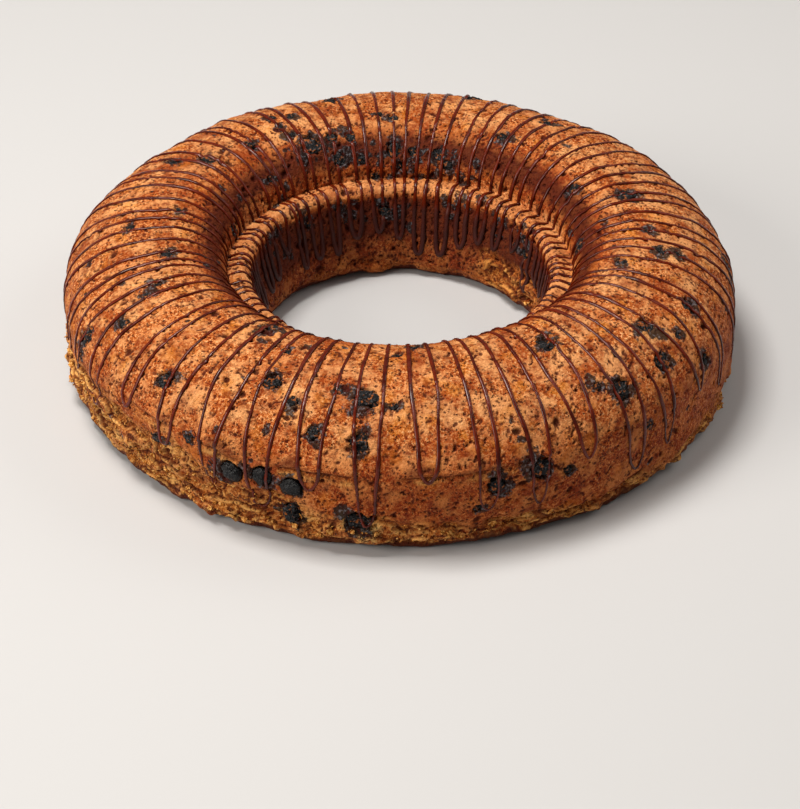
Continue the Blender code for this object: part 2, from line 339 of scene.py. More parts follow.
class CrustGrid:
    # heights and colour masks of the crust, on rows along the outline and columns round it
    def __init__(self):
        self.rows, self.cuts = crustRows()
        self.columns = crustMesh["columns"]
        self.pitch = 2 * math.pi / self.columns
        self.angles = np.arange(self.columns) * 2 * math.pi / self.columns
        self.radii, self.heights = outlineAt(self.rows)
        self.out, self.up = outlineNormal(self.rows)
        shape = (len(self.rows), self.columns)
        self.relief = np.zeros(shape)
        self.rise = np.zeros(shape)
        self.base = self.surface()
        names = ("pitAndShade", "torn", "ridgeHighlight", "stain", "baked", "ledge", "pale")
        self.masks = {name: np.zeros(shape) for name in names}

    def surface(self):
        # points of the crust as it is now, before the shift that centres its box
        points = np.empty((*self.relief.shape, 3))
        radius = self.radii[:, None] + self.out[:, None] * self.relief
        points[:, :, :2] = radius[:, :, None] * bearing(self.angles)
        points[:, :, 2] = np.maximum(self.heights[:, None] + self.up[:, None] * self.relief + self.rise, 0)
        return points

    def window(self, angle, along, reach):
        # cells within reach of a spot, and their distances from it along and across
        first, last = np.searchsorted(self.rows, (along - reach, along + reach))
        rows = np.arange(first, max(last, first + 1))
        radius = float(outlineAt(along)[0])
        half = int(reach / (radius * self.pitch)) + 1
        middle = angle / self.pitch
        columns = np.arange(math.floor(middle) - half, math.ceil(middle) + half + 1)
        across = (columns - middle) * self.pitch * radius
        return np.ix_(rows, columns % self.columns), (self.rows[rows] - along)[:, None], across[None, :]

    def oval(self, angle, along, long, wide, turn, reach):
        # cells near a turned oval, and their distance from its middle, 1 at its edge
        spot, down, across = self.window(angle, along, reach)
        c, s = math.cos(turn), math.sin(turn)
        return spot, np.hypot((down * c + across * s) / long, (across * c - down * s) / wide)

    def soft(self, perMetre, seed, spot=slice(None), stretch=(1, 1, 1)):
        points = self.base[spot] * stretch
        return softNoise(points.reshape(-1, 3), perMetre, seed).reshape(points.shape[:2])

    def cells(self, perMetre, seed):
        return [gap.reshape(self.relief.shape) for gap in cellGap(self.base.reshape(-1, 3), perMetre, seed)]

    def mark(self, mask, values, spot=slice(None)):
        self.masks[mask][spot] = np.maximum(self.masks[mask][spot], values)

    def dent(self, angle, along, long, wide, turn, depth, dark=1.0):
        spot, gap = self.oval(angle, along, long, wide, turn, max(long, wide) * 1.5)
        share = 1 - smoothStep(0.35, 1.25, gap)
        self.relief[spot] -= depth * share
        self.mark("pitAndShade", dark * share, spot)

    def smudge(self, angle, along, reach, draw):
        # dark mark of two or three overlapping patches; the shader breaks up its edge
        for _ in range(draw.choice((2, 2, 3))):
            turn = draw.uniform(0, math.pi)
            long = reach * draw.uniform(0.7, 1.15)
            wide = long * draw.uniform(0.45, 0.85)
            here = along + draw.gauss(0, reach * 0.35)
            there = angle + draw.gauss(0, reach * 0.35) / float(outlineAt(along)[0])
            spot, gap = self.oval(there, here, long, wide, turn, long * 1.8)
            self.mark("stain", np.clip(1.5 - gap, 0, 1), spot)


def tornBand(grid):
    # rough torn band at the outer foot, at the hole's foot and up the hole's right side
    relief, rows = crustRelief, grid.rows[:, None]
    drift = grid.soft(42, relief["seed"]) + 0.5 * grid.soft(130, relief["seed"] + 1)
    least, added = relief["tornTop"]
    top = least + added * bell(angleGap(grid.angles, relief["tornLeft"]), 0, relief["tornWidth"])
    torn = 1 - smoothStep(top - relief["tornFade"], top, rows + 0.005 * drift)
    fromHole = marks["end"] - rows + 0.004 * drift
    torn = np.maximum(torn, 0.4 * (1 - smoothStep(-0.001, 0.004, fromHole)))
    side = np.abs(angleGap(grid.angles, relief["tornSide"])) + 0.05 * drift
    return np.maximum(torn, (1 - smoothStep(0.30, 0.52, side)) * (1 - smoothStep(0.010, 0.017, fromHole)))


def foldOver(grid, crag):
    # the crust folds over the wall in front, with a small step and a crack under it; the crack is darkened as
    # painted shade, a darker band lies above the fold, and a torn strip below it gets a painted highlight
    relief = crustRelief
    stray, less, patchy = (grid.soft(perMetre, relief["seed"] + number, stretch=(1, 1, 0))
                           for perMetre, number in ((34, 8), (150, 9), (75, 10)))
    past = grid.rows[:, None] - relief["foldAt"] - (relief["foldStray"] * stray + 0.0012 * less)
    front = np.abs(angleGap(grid.angles, relief["foldMiddle"]))
    fold = (1 - smoothStep(*relief["foldEnds"], front)) * smoothStep(-0.25, 0.15, patchy)
    crack = bell(past, -0.0006, 0.00055)
    darkAboveFold = 0.50 * bell(past, 0.0020, 0.0024) * smoothStep(-0.45, 0.25, crag)
    grid.mark("pitAndShade", fold * np.maximum(0.6 * crack, darkAboveFold))
    glow = fold * bell(past, -0.0028, 0.0018) * smoothStep(-0.7, -0.1, crag)
    grid.mark("torn", glow)
    grid.mark("ridgeHighlight", 0.55 * glow)
    step = smoothStep(-0.0010, 0.0008, past) * np.exp(-np.maximum(past, 0) / 0.009)
    return fold * (relief["foldStep"] * step - 0.0007 * crack)


def shapeCrust(grid):
    relief, seed = crustRelief, crustRelief["seed"]
    shape = grid.relief.shape
    slow = blenderNoise(grid.base.reshape(-1, 3), ring["unevenPerMetre"])
    grid.relief += ring["uneven"] * slow.reshape(shape)
    torn = tornBand(grid)
    grid.mark("torn", torn)
    grid.loose = np.clip(1.6 * torn - 0.6, 0, 1)  # where crumbs cling
    height = np.zeros(shape)
    for name, number in (("lumps", 2), ("swells", 13), ("fine", 4)):
        height += relief[name][0] * grid.soft(relief[name][1], seed + number)
    nearest = grid.cells(relief["grain"][1], seed + 3)[0]
    height += relief["grain"][0] * (0.45 - nearest) * (1 + 0.6 * torn)
    nearest, second = grid.cells(relief["tornGrain"][1], seed + 5)
    chunks = second - nearest
    crag = grid.soft(relief["crags"][1], seed + 6)
    height += torn * relief["tornGrain"][0] * (0.5 * np.minimum(chunks, 0.45) - 0.25)
    height += torn * (relief["crags"][0] * crag - relief["tornSunk"])
    # painted shade in the crevices between torn chunks
    grid.mark("pitAndShade", 0.35 * torn * (1 - smoothStep(0.02, 0.14, chunks)))

    # flaky layers that lie along the ring, with a painted highlight on each layer's edge and along the torn
    # band's upper brink, and painted shade in the crevice below
    long, wide = relief["tornLying"]
    lying = grid.base * (long, long, 0)
    lying[:, :, 2] = grid.rows[:, None] * wide
    lying = lying.reshape(-1, 3)
    level = 1.5 * (softNoise(lying, 1.0, seed + 11) + 0.45 * softNoise(lying, 2.3, seed + 12)).reshape(shape)
    part = level - np.floor(level)
    height += torn * relief["tornLayer"] * (np.floor(level) + smoothStep(0.62, 0.92, part))
    brink = 0.7 * bell(torn, 0.45, 0.16) * smoothStep(-0.2, 0.5, crag)
    grid.mark("ridgeHighlight", np.maximum(torn * bell(part, 0.90, 0.09), brink))
    grid.mark("pitAndShade", 0.75 * torn * bell(part, 0.60, 0.10))

    height += foldOver(grid, crag)
    fromEnd = np.minimum(grid.rows, marks["end"] - grid.rows)[:, None]  # below 0 under the cake
    # painted shade under the foot where it curls in under the cake
    grid.mark("pitAndShade", 0.8 * (1 - smoothStep(-0.0060, -0.0036, fromEnd)))
    grid.relief += height * smoothStep(-0.0085, -0.0020, fromEnd)


def shapeFoot(grid):
    # ragged lower edge, outside and in the hole
    for radius, end, direction, seed in (
        (ring["radius"], 0.0, 1, 61), (ring["holeRadius"], marks["end"], -1, 62),
    ):
        level = np.zeros((grid.columns, 3))
        level[:, :2] = bearing(grid.angles) * radius
        wave = 0.55 + 0.8 * blenderNoise(level, 90)
        wave += 0.35 * softNoise(level, 260, seed) + 0.2 * softNoise(level, 700, seed + 2)
        inOut = softNoise(level, 120, seed + 3) + 0.6 * softNoise(level, 380, seed + 4)
        near = bell((grid.rows - end) * direction, -0.0040, 0.0034)[:, None]
        grid.rise += near * crustRelief["footRise"] * np.clip(wave, 0, 1.6)
        grid.relief += near * crustRelief["footInOut"] * (inOut - 0.25)


def sinkFruit(grid):
    # a hollow with a worn edge for each fruit piece, in a dark stain
    draw = random.Random(fruit["seed"] + 1)
    for place in places:
        half = place["half"]
        spot, down, across = grid.window(place["angle"], place["along"], half * 2.4)
        ragged = grid.soft(330, 41, spot) + 0.6 * grid.soft(900, 42, spot)
        proud = place["name"] in fruit["wholeNodes"]
        gap = np.hypot(down, across) / half * (1 + (0.08 if proud else 0.26) * ragged)
        edge = 0.92 if proud else 0.76
        hollow = min(0.0020, half * 0.5) * (1 - smoothStep(edge - 0.22, edge, gap))
        lip = min(0.0007, half * 0.14) * draw.uniform(0.3, 1.0) * bell(gap, edge + 0.13, 0.14)
        grid.relief[spot] += lip * (1 + 0.5 * ragged) - hollow
        grid.smudge(place["angle"], place["along"], half * (1.15 if place["name"] else 1.4), draw)


def smudgeCrust(grid):
    draw = random.Random(fruit["seed"] + 3)
    for number in range(fruit["smudges"]):
        if number < fruit["farSmudges"]:
            turn, along = draw.choice(fruit["farClumps"])
            angle, along = math.radians(turn + draw.gauss(0, 5)), along / 1000 + draw.gauss(0, 0.004)
            sizes = fruit["farSmudgeSizes"]
        else:
            angle, along = draw.uniform(-math.pi, math.pi), draw.uniform(0.004, marks["end"] - 0.008)
            sizes = fruit["smudgeSizes"]
        grid.smudge(angle, along, draw.uniform(*sizes), draw)


def dentCrust(grid):
    end = marks["end"]
    draw = random.Random(pores["seed"])
    for _ in range(pores["count"]):
        along = draw.uniform(0, end)
        size = draw.uniform(*pores["size"])
        stretch = draw.uniform(1.0, 2.0)
        depth = draw.uniform(*pores["depth"])
        grid.dent(draw.uniform(0, 2 * math.pi), along, size, size * stretch,
                  draw.uniform(0, math.pi), depth, draw.uniform(0.5, 1.0))
    draw = random.Random(redPits["seed"])
    for _ in range(redPits["count"]):
        size = draw.uniform(*redPits["size"])
        grid.dent(draw.uniform(0, 2 * math.pi), draw.uniform(0, end), size, size * draw.uniform(1.0, 1.7),
                  draw.uniform(0, math.pi), redPits["depth"])
    draw = random.Random(cracks["seed"])
    for _ in range(cracks["count"]):
        angle, along = draw.uniform(0, 2 * math.pi), draw.uniform(0.004, end - 0.004)
        heading = draw.gauss(math.pi / 2, 0.6)
        for _ in range(int(draw.uniform(*cracks["length"]) / cracks["step"])):
            heading += draw.gauss(0, 0.28)
            along += cracks["step"] * math.cos(heading)
            angle += cracks["step"] * math.sin(heading) / float(outlineAt(along)[0])
            if not 0 < along < end:
                break
            grid.dent(angle, along, cracks["width"] * 1.4, cracks["width"], heading, cracks["depth"], 0.8)


def browningAndPaintedShade(grid):
    # darker in the groove, down the hole and on the outer wall, least on the left: partly deeper browning,
    # partly painted shade
    drift, rows = grid.soft(60, 71), grid.rows[:, None]
    groove, edge, end = marks["groove"], marks["edge"], marks["end"]
    hole = smoothStep(edge - 0.002, edge + 0.003, rows)
    hole = hole * (1.15 - 0.65 * smoothStep(end - 0.021, end - 0.005, rows + 0.004 * drift))
    slope = bell(rows, groove - 0.0125, 0.0070)
    wall = 1 - smoothStep(0.022, 0.044, rows + 0.006 * drift)
    wall = wall * (1 - 0.55 * bell(angleGap(grid.angles, math.radians(-75)), 0, math.radians(42)))
    shade = 1.25 * hole + 1.15 * slope + 0.34 * wall + 0.12 * drift
    grid.masks["baked"] = np.clip(shade * (1 - 0.6 * grid.masks["torn"]), 0, 1)
    ledge = smoothStep(groove - 0.002, groove + 0.002, rows) - smoothStep(edge - 0.002, edge + 0.002, rows)
    grid.masks["ledge"] = np.clip(ledge * (0.8 + 0.5 * drift), 0, 1)
    for degrees, along, reach in paleSpots:
        spot, down, across = grid.window(math.radians(degrees), along, reach * 1.6)
        gap = np.hypot(down, across) / reach + 0.5 * grid.soft(420, 72, spot)
        grid.mark("pale", 1 - smoothStep(0.4, 1.0, gap), spot)


def addPiece(name, verts, faces, attributes):
    mesh = bpy.data.meshes.new(name)
    mesh.from_pydata(verts, [], faces)
    for key, values in attributes.items():
        layer = mesh.attributes.new(key, "FLOAT", "POINT")
        layer.data.foreach_set("value", np.asarray(values, dtype=np.float32).ravel())
    mesh.shade_smooth()
    piece = bpy.data.objects.new(name, mesh)
    bpy.context.scene.collection.objects.link(piece)
    return piece


def gridNormals(points):
    across = np.roll(points, -1, axis=1) - np.roll(points, 1, axis=1)
    normals = np.cross(across, np.gradient(points, axis=0))
    return normals / np.maximum(np.linalg.norm(normals, axis=2, keepdims=True), 1e-12)


def makeCrust(grid, points, normals):
    pieces = []
    for number, name in enumerate(("crust_foot", "crust_dome", "crust_slope", "crust_hole")):
        cut = slice(grid.cuts[number], grid.cuts[number + 1] + 1)
        index = np.arange(points[cut].size // 3).reshape(-1, grid.columns)
        right = np.roll(index, -1, axis=1)
        quads = np.stack([index[:-1], right[:-1], right[1:], index[1:]], axis=-1).reshape(-1, 4)
        masks = {key: value[cut] for key, value in grid.masks.items()}
        piece = addPiece(name, points[cut].reshape(-1, 3).tolist(), quads.tolist(), masks)
        piece.data.normals_split_custom_set_from_vertices(normals[cut].reshape(-1, 3).tolist())
        pieces.append(piece)
    print("crust pieces:", [len(piece.data.polygons) for piece in pieces])
    return pieces


grid = CrustGrid()
for stage in (shapeCrust, shapeFoot, sinkFruit, smudgeCrust, dentCrust, browningAndPaintedShade):
    stage(grid)
    print("crust stage done:", stage.__name__)
crustPoints = grid.surface()
crustPoints[:, :, :2] += ring["middle"]
crustNormals = gridNormals(crustPoints)
crustPieces = makeCrust(grid, crustPoints, crustNormals)


# fruit

def wrinkle(bm, depth, perMetre, seed):
    # folds pressed inwards, so that the highest ridges stay where the skin was
    bm.normal_update()
    points = np.array([v.co for v in bm.verts])
    folds = np.abs(softNoise(points, perMetre, seed)) * 1.5
    folds += 0.45 * np.abs(softNoise(points, perMetre * 2.3, seed + 1)) * 1.5
    for vert, fold in zip(bm.verts, np.clip(folds, 0, 1.3)):
        vert.co -= vert.normal * (depth * fold)


def berryFromSolid(place):
    bm = bmesh.new()
    bm.from_mesh(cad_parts[place["name"]].data)
    bmesh.ops.remove_doubles(bm, verts=bm.verts, dist=1e-5)
    bmesh.ops.subdivide_edges(bm, edges=bm.edges[:], cuts=4, use_grid_fill=True, smooth=1.0)
    whole = place["name"] in fruit["wholeNodes"]
    axes = {"use_axis_" + axis: True for axis in "xyz"}
    for _ in range(5):
        bmesh.ops.smooth_vert(bm, verts=bm.verts, factor=0.5, **axes)
    if whole:
        share, perMetre = fruit["wholeLumps"]
        low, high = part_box(place["name"])
        middle = (low + high) / 2
        for vert in bm.verts:
            lump = min(noise.noise(vert.co * perMetre), 0.15)
            vert.co = middle + (vert.co - middle) * (0.97 + share * lump)
    else:
        # baked ones have sunk flat and lost their round edge
        onCrust = crustFrame(place["angle"], place["along"])
        back = onCrust.inverted()
        edge = Vector((place["angle"] * 40, place["along"] * 900, 0))
        for vert in bm.verts:
            spot = back @ vert.co
            turn = math.atan2(spot.y, spot.x)
            wide = 1 + 0.34 * noise.noise(Vector((math.cos(turn), math.sin(turn), 0)) * 1.6 + edge)
            vert.co = onCrust @ Vector((spot.x * wide, spot.y * wide, spot.z * fruit["flatten"]))
    wrinkle(bm, fruit["foldDepth"] * (fruit["wholeFolds"] if whole else 1.0), fruit["foldsPerMetre"], 5)
    return bm


def crustFrame(angle, along):
    # matrix on the crust: Z outwards, X along the ring
    out, up = (float(v) for v in outlineNormal(along))
    radius, height = (float(v) for v in outlineAt(along))
    east = Vector((math.cos(angle), math.sin(angle), 0))
    outward = Vector((math.sin(angle) * out, -math.cos(angle) * out, up)).normalized()
    matrix = Matrix((east, outward.cross(east), outward)).transposed().to_4x4()
    flat = Vector((math.sin(angle) * radius, -math.cos(angle) * radius, height))
    slow = noise.noise(flat * ring["unevenPerMetre"]) * ring["uneven"]
    matrix.translation = flat + outward * slow + Vector((*ring["middle"], 0))
    return matrix


def fruitBit(place, draw):
    bm = bmesh.new()
    bmesh.ops.create_icosphere(bm, subdivisions=3, radius=1.0)
    half = place["half"]
    sizes = Vector((half, half * draw.uniform(0.65, 0.95), half * fruit["bitFlat"]))
    offset = Vector((draw.uniform(0, 50), 0, 0))
    for vert in bm.verts:
        lump = 1 + 0.50 * noise.noise(vert.co * 1.5 + offset)
        vert.co = Vector([c * s * lump for c, s in zip(vert.co, sizes)])
    bmesh.ops.rotate(bm, verts=bm.verts, matrix=Matrix.Rotation(draw.uniform(0, math.pi), 3, "Z"))
    matrix = crustFrame(place["angle"], place["along"])
    bm.transform(matrix @ Matrix.Translation((0, 0, -fruit["bitSunk"] * sizes.z)))
    wrinkle(bm, fruit["foldDepth"] * 0.6, fruit["foldsPerMetre"] * 1.3, 8)
    return bm


def joined(name, parts, shares=None):
    verts, faces, values = [], [], []
    for number, bm in enumerate(parts):
        start = len(verts)
        bm.verts.index_update()
        verts.extend(v.co[:] for v in bm.verts)
        faces.extend([start + v.index for v in f.verts] for f in bm.faces)
        if shares:
            values.extend([shares[number]] * len(bm.verts))
        bm.free()
    return addPiece(name, verts, faces, {"whole": values} if shares else {})


def makeFruit():
    nodes = [place for place in places if place["name"]]
    shares = [1.0 if place["name"] in fruit["wholeNodes"] else 0.0 for place in nodes]
    berries = joined("berries", [berryFromSolid(place) for place in nodes], shares)
    draw = random.Random(fruit["seed"] + 2)
    bits = joined("fruit_bits", [fruitBit(place, draw) for place in places if not place["name"]])
    print("fruit:", len(berries.data.polygons), "and", len(bits.data.polygons), "faces")
    return berries, bits


berries, fruitBits = makeFruit()


# chocolate drizzle, one thread laid out as on the solid

drizzle = {
    "strands": 80,
    "stray": math.radians(1.2),
    "turnLength": 0.0045,
    "outerGaps": (math.radians(0.7), math.radians(1.4)),
    "innerGaps": (math.radians(1.2), math.radians(2.2)),
    "outerHeights": (0.012, 0.032),
    "innerHeights": (0.010, 0.024),
    "seed": 11,
    "halfWidth": 0.00072,
    "height": 0.00078,
    "step": 0.0011,
    "sides": 7,
    "wobble": ((0.00040, 90), (0.00110, 24)),  # how far sideways and how many to a metre
    "uneven": ((0.30, 95), (0.13, 420)),  # share of its thickness and how many to a metre
    "thinned": 0.30,  # down the outer wall
    "pooled": 0.42,  # down the hole
}


def drizzleTurns():
    draw = random.Random(drizzle["seed"])
    count = drizzle["strands"]
    pitch = 2 * math.pi / count
    angles = [(k + 0.5) * pitch + draw.uniform(-drizzle["stray"], drizzle["stray"]) for k in range(count)]
    closed = angles + [angles[0] + 2 * math.pi]
    turns = {"outer": [], "inner": []}
    for first, side in enumerate(turns):
        for k in range(first, count, 2):
            end = alongAtHeight(draw.uniform(*drizzle[side + "Heights"]), side == "inner")
            turns[side].append(((closed[k] + closed[k + 1]) / 2, end, draw.uniform(*drizzle[side + "Gaps"])))
    return angles, turns["outer"], turns["inner"]


def strandCourse(k, angles, outer, inner):
    # guide points of a strand, from its outer turn to its inner turn
    crest, groove, lip, edge = (marks[name] for name in ("crest", "groove", "lip", "edge"))
    angle, side = angles[k], 1 if k % 2 else -1
    outerAngle, outerEnd, outerGap = outer[k // 2]
    innerAngle, innerEnd, innerGap = inner[(k - 1) // 2]
    if k == 0:
        innerAngle -= 2 * math.pi
    start, finish = outerAngle + side * outerGap, innerAngle - side * innerGap
    neck = outerEnd + drizzle["turnLength"]
    points = [(outerAngle, outerEnd), (start, neck)]
    for share in (0.2, 0.4, 0.6, 0.8, 1.0):
        points.append((start + (angle - start) * min(1.0, share * 1.6), neck + (crest - neck) * share))
    points.extend((angle, crest + (groove - crest) * share) for share in (0.3, 0.65, 1.0))
    for share in (0.0, 0.5, 1.0):
        points.append((angle + (finish - angle) * 0.4 * share, lip + (edge - lip) * share))
    return points + [(finish, innerEnd - drizzle["turnLength"]), (innerAngle, innerEnd)]


def drizzlePath():
    # one closed thread: in along the odd strands and out along the even ones
    turns = drizzleTurns()
    path = []
    for k in range(1, drizzle["strands"] + 1):
        course = strandCourse(k % drizzle["strands"], *turns)
        lap = 2 * math.pi if k == drizzle["strands"] else 0.0
        path.extend((angle + lap, along) for angle, along in course[::1 if k % 2 else -1][:-1])
    return path


def smoothPath(path):
    # Catmull-Rom through the closed path, with a point about every step
    guide = np.array(path)
    lap = np.array([2 * math.pi, 0])
    padded = np.concatenate([guide[-1:] - lap, guide, guide[:2] + lap])
    samples = []
    for i in range(1, len(padded) - 2):
        p0, p1, p2, p3 = padded[i - 1:i + 3]
        radius = float(outlineAt((p1[1] + p2[1]) / 2)[0])
        length = math.hypot((p2[0] - p1[0]) * radius, p2[1] - p1[1])
        count = max(3, round(length / drizzle["step"]))
        t = np.arange(count)[:, None] / count
        samples.append(0.5 * (2 * p1 + (p2 - p0) * t + (2 * p0 - 5 * p1 + 4 * p2 - p3) * t ** 2
                              + (3 * p1 - p0 - 3 * p2 + p3) * t ** 3))
    return np.concatenate(samples)


def drizzleHeights(path):
    # smoothed height of the crust under each point of the thread
    height = grid.relief.copy()
    for _ in range(2):
        height = (height + np.roll(height, 1, 1) + np.roll(height, -1, 1)) / 3
        height[1:-1] = (height[:-2] + height[1:-1] + height[2:]) / 3
    row = np.interp(path[:, 1], grid.rows, np.arange(len(grid.rows)))
    column = (path[:, 0] % (2 * math.pi)) / grid.pitch
    above, left = np.clip(row.astype(int), 0, len(grid.rows) - 2), column.astype(int)
    a, b = row - above, column - left
    here, right = left % grid.columns, (left + 1) % grid.columns
    upper, lower = (height[at, here] * (1 - b) + height[at, right] * b for at in (above, above + 1))
    return upper * (1 - a) + lower * a


def liftOverFruit(base, normal):
    # over a berry the thread lies on the berry
    reach = 0.006
    tree = BVHTree.FromPolygons([v.co[:] for v in berries.data.vertices],
                                [p.vertices[:] for p in berries.data.polygons])
    lift = np.zeros(len(base))
    for i in range(len(base)):
        spot, way = Vector(base[i]), Vector(normal[i])
        hit = tree.ray_cast(spot + way * reach, -way, reach)
        if hit[0] is not None:
            lift[i] = reach - hit[3]
    for _ in range(3):
        lift = np.maximum(lift, (np.roll(lift, 1) + lift + np.roll(lift, -1)) / 3)
    return lift


def makeDrizzle():
    path = smoothPath(drizzlePath())
    radius, height = outlineAt(path[:, 1])
    out, up = outlineNormal(path[:, 1])
    level = np.column_stack([bearing(path[:, 0]) * radius[:, None], height])
    for number, (reach, perMetre) in enumerate(drizzle["wobble"]):
        path[:, 0] += reach * softNoise(level, perMetre, 88 + number) / radius
    flat = bearing(path[:, 0])
    normal = np.column_stack([flat * out[:, None], up])
    base = np.column_stack([flat * radius[:, None], height]) + normal * drizzleHeights(path)[:, None]
    base[:, :2] += ring["middle"]
    base += normal * liftOverFruit(base, normal)[:, None]
    sideways = np.cross(np.roll(base, -1, axis=0) - np.roll(base, 1, axis=0), normal)
    sideways /= np.linalg.norm(sideways, axis=1, keepdims=True)

    deep = smoothStep(marks["edge"], marks["edge"] + 0.006, path[:, 1])
    thick = 1 - drizzle["thinned"] * (1 - smoothStep(0.012, 0.036, path[:, 1]))
    for number, (share, perMetre) in enumerate(drizzle["uneven"]):
        thick += share * softNoise(base, perMetre, 84 + number)
    thick = np.clip(thick, 0.5, 1.5) + drizzle["pooled"] * deep
    sides = drizzle["sides"]
    rings = []
    for side in range(sides):
        turn = 2 * math.pi * side / sides
        wide = math.cos(turn) * drizzle["halfWidth"] * thick
        high = (math.sin(turn) * 0.5 + 0.28) * drizzle["height"] * thick
        rings.append(base + sideways * wide[:, None] + normal * high[:, None])
    points = np.stack(rings, axis=1).reshape(-1, 3)
    index = np.arange(len(points)).reshape(-1, sides)
    nextRing, nextSide = np.roll(index, -1, axis=0), np.roll(index, -1, axis=1)
    quads = np.stack([index, nextRing, np.roll(nextRing, -1, axis=1), nextSide], axis=-1).reshape(-1, 4)
    piece = addPiece("drizzle", points.tolist(), quads.tolist(), {"deep": np.repeat(deep, sides)})
    print("drizzle:", len(quads), "faces")
    return piece


drizzlePiece = makeDrizzle()


# crumbs that cling to the torn band

looseCrumb = {
    "count": 420,
    "sizes": (0.0003, 0.0006),
    "flakeShare": 0.4,
    "flakeSizes": (0.0007, 0.0015),
    "flakeTilt": 0.7,
    "skippedInHole": 0.75,
    "seed": 91,
}


def looseBit(draw, row, column):
    # a round crumb or a bent flake
    flake = draw.random() < looseCrumb["flakeShare"]
    size = draw.uniform(*looseCrumb["flakeSizes" if flake else "sizes"])
    thick = draw.uniform(0.16, 0.3) if flake else draw.uniform(0.6, 0.9)
    offset = Vector((draw.uniform(0, 90), 3, 1))
    bend = draw.uniform(0.1, 0.5) if flake else 0.0
    bm = bmesh.new()
    bmesh.ops.create_icosphere(bm, subdivisions=2, radius=1.0)
    for vert in bm.verts:
        x, y, z = vert.co * size * (1 + 0.75 * noise.noise(vert.co * 1.7 + offset))
        vert.co = (x, y * 0.75, z * thick + bend * (x * x + y * y) / size)
    most = looseCrumb["flakeTilt"] if flake else 3
    tilt = Matrix.Rotation(draw.uniform(-most, most), 4, "X")
    tilt = tilt @ Matrix.Rotation(draw.uniform(-most, most), 4, "Y")
    normal = Vector(crustNormals[row, column])
    bm.transform(normal.to_track_quat("Z", "Y").to_matrix().to_4x4() @ tilt)
    place = Vector(crustPoints[row, column]) + normal * size * 0.15
    place.z = max(place.z, 0.0001 - min(vert.co.z for vert in bm.verts))
    bmesh.ops.translate(bm, verts=bm.verts, vec=place)
    return bm


def makeCrumbs():
    draw = random.Random(looseCrumb["seed"])
    parts = []
    while len(parts) < looseCrumb["count"]:
        column, row = draw.randrange(grid.columns), draw.randrange(len(grid.rows))
        along = grid.rows[row]
        if not -0.002 < along < marks["end"] + 0.002 or draw.random() > grid.loose[row, column]:
            continue
        if along > marks["crest"] and draw.random() < looseCrumb["skippedInHole"]:
            continue
        parts.append(looseBit(draw, row, column))
    return joined("crumbs", parts)


crumbs = makeCrumbs()
print("crumbs done")


# materials

class Wiring:
    # short calls that add nodes to one tree; a value is a number, a colour or a socket
    def __init__(self, tree):
        self.tree = tree
        self.coords = None

    def feed(self, value, socket):
        if isinstance(value, bpy.types.NodeSocket):
            self.tree.links.new(value, socket)
        else:
            socket.default_value = (*value, 1) if isinstance(value, tuple) else value

    def add(self, kind, sockets=None, **settings):
        node = self.tree.nodes.new(kind)
        for key, value in settings.items():
            setattr(node, key, value)
        for key, value in (sockets or {}).items():
            self.feed(value, node.inputs[key])
        return node

    def noise(self, scale, detail=3.0, roughness=0.55):
        sockets = {"Vector": self.coords, "Scale": scale, "Detail": detail, "Roughness": roughness}
        return self.add("ShaderNodeTexNoise", sockets).outputs["Fac"]

    def ramp(self, value, *stops):
        node = self.add("ShaderNodeValToRGB", {"Fac": value})
        while len(node.color_ramp.elements) < len(stops):
            node.color_ramp.elements.new(0.5)
        for element, (place, colour) in zip(node.color_ramp.elements, stops):
            element.position = place
            element.color = (*colour, 1)
        return node.outputs["Color"]

    def grey(self, value, low, high, start=0.0, end=1.0):
        sockets = {"Value": value, "From Min": low, "From Max": high, "To Min": start, "To Max": end}
        return self.add("ShaderNodeMapRange", sockets).outputs["Result"]

    def mix(self, factor, first, second, blend="MIX"):
        sockets = {0: factor, 6: first, 7: second}
        return self.add("ShaderNodeMix", sockets, data_type="RGBA", blend_type=blend).outputs[2]

    def calc(self, operation, first, second):
        return self.add("ShaderNodeMath", {0: first, 1: second}, operation=operation).outputs[0]

    def times(self, first, second):
        return self.calc("MULTIPLY", first, second)

    def mask(self, name):
        return self.add("ShaderNodeAttribute", attribute_name=name).outputs["Fac"]

    def place(self, group, **values):
        return self.add("ShaderNodeGroup", {"Vector": self.coords, **values}, node_tree=group).outputs

    def dress(self, shader, colour, roughness, height, strength, distance):
        bump = self.add("ShaderNodeBump", {"Height": height, "Strength": strength, "Distance": distance})
        self.feed(colour, shader.inputs["Base Color"])
        self.feed(roughness, shader.inputs["Roughness"])
        self.feed(bump.outputs["Normal"], shader.inputs["Normal"])


def newGroup(name, numbers, results):
    # node group whose vector is scaled by its Scale, with further numbers in and results out
    group = bpy.data.node_groups.new(name, "ShaderNodeTree")
    group.interface.new_socket("Vector", in_out="INPUT", socket_type="NodeSocketVector")
    for key, value in numbers.items():
        group.interface.new_socket(key, in_out="INPUT", socket_type="NodeSocketFloat").default_value = value
    for key in results:
        group.interface.new_socket(key, in_out="OUTPUT", socket_type="NodeSocketFloat")
    net = Wiring(group)
    start, end = net.add("NodeGroupInput").outputs, net.add("NodeGroupOutput").inputs
    scaled = net.add("ShaderNodeVectorMath", {0: start["Vector"], "Scale": start["Scale"]}, operation="SCALE")
    net.coords = scaled.outputs["Vector"]
    return group, net, start, end


